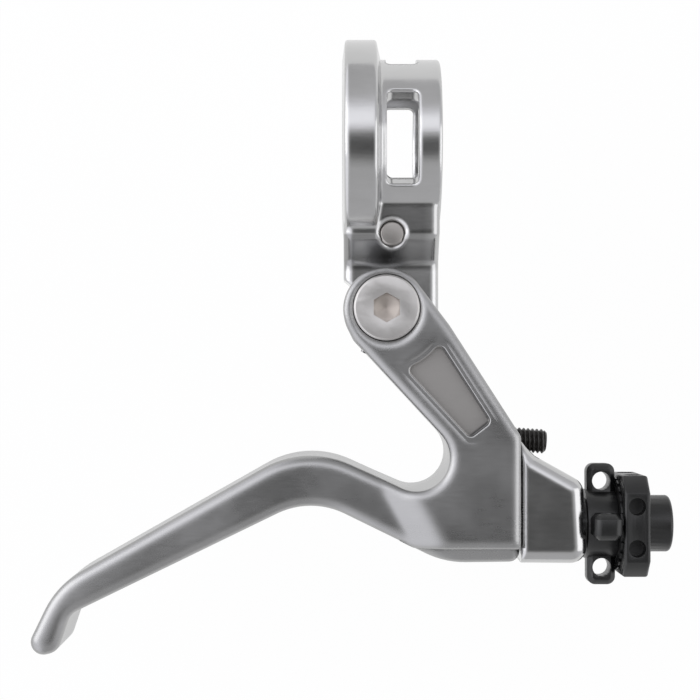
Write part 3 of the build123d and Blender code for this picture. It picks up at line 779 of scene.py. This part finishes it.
@dataclass
class ReachScrew:
    """The black M4 set screw with its real thread and hexagon socket."""

    end: Point = (24.85, -47.25, 0.0)
    tilt_deg: float = -4.0
    length: float = 12.9
    radius: float = 1.95
    pitch: float = 0.7
    depth: float = 0.36
    chamfer: float = 0.5
    socket_mm: float = 2.0
    socket_depth: float = 2.2
    around: int = 48
    rows_per_turn: int = 10

    def recipe(self) -> bpy.types.NodeTree:
        """Make the node group that winds a grid into a threaded rod.

        Returns:
            The group, with named inputs for its sizes.
        """
        tree = bpy.data.node_groups.new("threaded_rod", "GeometryNodeTree")
        tree.interface.new_socket("Geometry", in_out="OUTPUT", socket_type="NodeSocketGeometry")
        for name in ("Length", "Radius", "Pitch", "Depth", "Chamfer", "Socket", "Socket Depth"):
            tree.interface.new_socket(name, in_out="INPUT", socket_type="NodeSocketFloat")
        for name in ("Around", "Rows"):
            tree.interface.new_socket(name, in_out="INPUT", socket_type="NodeSocketInt")
        tree.interface.new_socket("Place", in_out="INPUT", socket_type="NodeSocketVector")
        tree.interface.new_socket("Turn", in_out="INPUT", socket_type="NodeSocketRotation")
        tree.interface.new_socket("Finish", in_out="INPUT", socket_type="NodeSocketMaterial")
        graph = Graph(tree)
        given = graph.add("NodeGroupInput").outputs
        wanted = {socket.name: Signal(graph, socket) for socket in given if socket.name}
        length, radius, pitch, depth = (wanted[name] for name in ("Length", "Radius", "Pitch", "Depth"))
        rows = wanted["Rows"]
        grid = graph.node("GeometryNodeMeshGrid", None, {
            "Size X": 1.0, "Size Y": 1.0, "Vertices X": wanted["Around"] + 1, "Vertices Y": rows + 1})
        x, y, _ = graph.axes(graph.node("GeometryNodeInputPosition"))
        turn = x + 0.5
        row = graph.node("ShaderNodeMath", {"operation": "ROUND"}, {0: (y + 0.5) * rows})
        angle = turn * (2 * math.pi)
        inner_rows = ((row - 1) / (rows - 4)).clamped()
        height = inner_rows * length
        phase = graph.node("ShaderNodeMath", {"operation": "FRACT"}, {0: height / pitch - turn + 8.0})
        crest = (abs(phase * 2 - 1) * 1.25).clamped()
        from_end = height.least(length - height)
        taper = (from_end / wanted["Chamfer"]).clamped()
        shaft = (radius - depth * (1 - crest)).least(radius - depth * 1.3 * (1 - taper))
        third = math.pi / 3
        slice_angle = graph.node("ShaderNodeMath", {"operation": "WRAP"}, {
            0: angle, 1: third / 2, 2: -third / 2})
        hexagon = wanted["Socket"] / 2 / slice_angle.cosine()
        in_socket = row.above(rows - 2.5)
        at_bottom = row.above(rows - 1.5)
        closing = row.above(rows - 0.5) + (1 - row.above(0.5))
        reach = (shaft * (1 - in_socket) + hexagon * in_socket) * (1 - closing.clamped())
        level = height - at_bottom * wanted["Socket Depth"]
        place = graph.node("ShaderNodeCombineXYZ", None, {
            0: reach * angle.cosine(),
            1: reach * angle.sine(),
            2: level,
        })
        wound = graph.node("GeometryNodeSetPosition", None, {"Geometry": grid, "Position": place})
        merged = graph.node("GeometryNodeMergeByDistance", None, {"Geometry": wound, "Distance": 1e-6})
        set_in_place = graph.node("GeometryNodeTransform", None, {
            "Geometry": merged, "Translation": wanted["Place"], "Rotation": wanted["Turn"]})
        real = graph.node("GeometryNodeRealizeInstances", None, {"Geometry": set_in_place})
        finished = graph.node("GeometryNodeSetMaterial", None, {
            "Geometry": real, "Material": wanted["Finish"]})
        graph.add("NodeGroupOutput", None, {"Geometry": finished})
        return tree

    def build(self, wardrobe: Wardrobe) -> bpy.types.Object:
        """Wind the thread and put it in the CAD screw's place.

        Args:
            wardrobe: the finishes.

        Returns:
            The threaded screw.
        """
        tilt = math.radians(self.tilt_deg)
        axis = Vector((math.cos(tilt), math.sin(tilt), 0.0))
        start = Vector(self.end) - axis * self.length
        rows = round(self.length / self.pitch * self.rows_per_turn) + 4
        values = {
            "Length": self.length * MM,
            "Radius": self.radius * MM,
            "Pitch": self.pitch * MM,
            "Depth": self.depth * MM,
            "Chamfer": self.chamfer * MM,
            "Socket": self.socket_mm * MM,
            "Socket Depth": self.socket_depth * MM,
            "Around": self.around,
            "Rows": rows,
            "Place": start * MM,
            "Turn": Vector((0, 0, 1)).rotation_difference(axis).to_euler(),
            "Finish": wardrobe.made[Slot.SCREW],
        }
        piece = new_piece("reach_screw_thread", bpy.data.meshes.new("reach_screw_thread"))
        run_recipe(piece, self.recipe(), values)
        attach(piece, Body.SCREW.value)
        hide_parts("reach_screw")
        return piece


@dataclass
class Studio:
    """Floor, soft light and the camera straight above the lever."""

    view_centre: Flat = (-6.45, -32.6)
    distance_mm: float = 250.0
    width_mm: float = 112.0
    floor_mm: float = -60.0
    overhead: float = 0.62
    window: float = 0.85
    left_wall: float = 0.75
    right_wall: float = 0.15
    window_low: Flat = (0.08, 0.3)
    window_high: Flat = (0.42, 0.8)
    window_side: Flat = (0.25, 0.75)
    left_wall_edge: Flat = (-0.5, -0.1)
    right_wall_edge: Flat = (0.4, 0.8)
    lens_centre: Flat = (0.09, -0.11)
    lens_edge: Flat = (0.1, 0.45)
    lens_rise: Flat = (0.0, 0.5)
    floor_glow: float = 0.93
    lens_shade: float = 0.82

    def build(self) -> None:
        """Make the camera, the lamps, the world and the floor."""
        self.camera()
        self.world()
        self.lamp("left_softbox", (-0.55, 0.1, 0.3), 0.5, 0.9)
        self.lamp("right_softbox", (0.55, -0.05, 0.3), 0.5, 0.8)
        self.floor()

    def camera(self) -> None:
        """Put the camera where the photograph was taken from."""
        data = bpy.data.cameras.new("camera")
        data.sensor_width = 36.0
        data.lens = data.sensor_width * self.distance_mm / self.width_mm
        data.clip_start = 0.01
        camera = bpy.data.objects.new("camera", data)
        camera.location = (self.view_centre[0] * MM, self.view_centre[1] * MM, self.distance_mm * MM)
        bpy.context.scene.collection.objects.link(camera)
        bpy.context.scene.camera = camera

    def lamp(self, name: str, place: Point, size: float, power: float) -> None:
        """Add one soft box that faces the lever.

        Args:
            name: the lamp's name.
            place: where it stands, in metres.
            size: its side, in metres.
            power: in watts.
        """
        data = bpy.data.lights.new(name, "AREA")
        data.shape = "SQUARE"
        data.size = size
        data.energy = power
        lamp = bpy.data.objects.new(name, data)
        lamp.location = place
        aim = Vector((-0.006, -0.033, 0)) - Vector(place)
        lamp.rotation_euler = aim.to_track_quat("-Z", "Y").to_euler()
        bpy.context.scene.collection.objects.link(lamp)

    def world(self) -> None:
        """Grey overhead, paler round the sides."""
        world = bpy.data.worlds.new("studio")
        bpy.context.scene.world = world
        world.use_nodes = True
        graph = Graph(world.node_tree)
        direction = graph.node("ShaderNodeTexCoord", output="Generated")
        x, y, z = graph.axes(direction)
        window = y.step(*self.window_low) * (1 - y.step(*self.window_high)) * (
            1 - abs(x).step(*self.window_side))
        left_wall = 1 - x.step(*self.left_wall_edge)
        right_wall = x.step(*self.right_wall_edge)
        from_lens = graph.from_point(x, y, self.lens_centre)
        lens = (1 - from_lens.step(*self.lens_edge)) * z.step(*self.lens_rise)
        level = (self.overhead + self.window * window + self.left_wall * left_wall
                 + self.right_wall * right_wall)
        level = level * (1 - self.lens_shade * lens)
        level = level * (0.88 + 0.24 * graph.noise(direction, 3.0, 2.0))
        tint = graph.blend(level.step(0.4, 1.0), grey(1.0), (0.955, 0.955, 1.0, 1.0))
        light = graph.node("ShaderNodeBackground", None, {"Color": tint, "Strength": level})
        graph.add("ShaderNodeOutputWorld", None, {"Surface": light})

    def floor(self) -> None:
        """A plain floor below the lever, nearly white to the camera and in reflections."""
        half = 3.0
        z = self.floor_mm * MM
        mesh = bpy.data.meshes.new("floor")
        corners = [(-half, -half, z), (half, -half, z), (half, half, z), (-half, half, z)]
        mesh.from_pydata(corners, [], [(0, 1, 2, 3)])
        floor = new_piece("floor", mesh)
        made = bpy.data.materials.new("pale_floor")
        made.use_nodes = True
        graph = Graph(made.node_tree)
        rays = graph.add("ShaderNodeLightPath")
        seen = Signal(graph, rays.outputs["Is Camera Ray"]) + Signal(
            graph, rays.outputs["Is Glossy Ray"]) + Signal(graph, rays.outputs["Is Transmission Ray"])
        paint = graph.node(
            "ShaderNodeBsdfDiffuse", None,
            {"Color": graph.blend(graph.noise(graph.place(), 0.01), grey(0.86), grey(0.9))},
        )
        shine = graph.node("ShaderNodeEmission", None, {"Color": grey(1.0), "Strength": 1.0})
        mixed = graph.node("ShaderNodeMixShader", None, {
            0: seen.clamped() * self.floor_glow, 1: paint, 2: shine})
        graph.add("ShaderNodeOutputMaterial", None, {"Surface": mixed})
        floor.data.materials.append(made)


def middle(node: str) -> Flat:
    """Where the axis of a node that lies along Z is, in millimetres."""
    low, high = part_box(node)
    return ((low[0] + high[0]) / 2 / MM, (low[1] + high[1]) / 2 / MM)


def main() -> None:
    """Build every sub-assembly."""
    logging.basicConfig(level=logging.INFO, format="%(message)s")
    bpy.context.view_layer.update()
    bpy.context.scene.view_settings.view_transform = "Standard"
    wardrobe = Wardrobe()
    wardrobe.build(middle("pivot_bolt"), middle("clamp_bolt"))
    for part in (Clamp(), Lever(), Bearings(), Adjuster()):
        part.dress(wardrobe)
        LOG.info("dressed %s", type(part).__name__)
    Studio().build()
    LOG.info("studio ready")


if __name__ == "__main__":
    main()
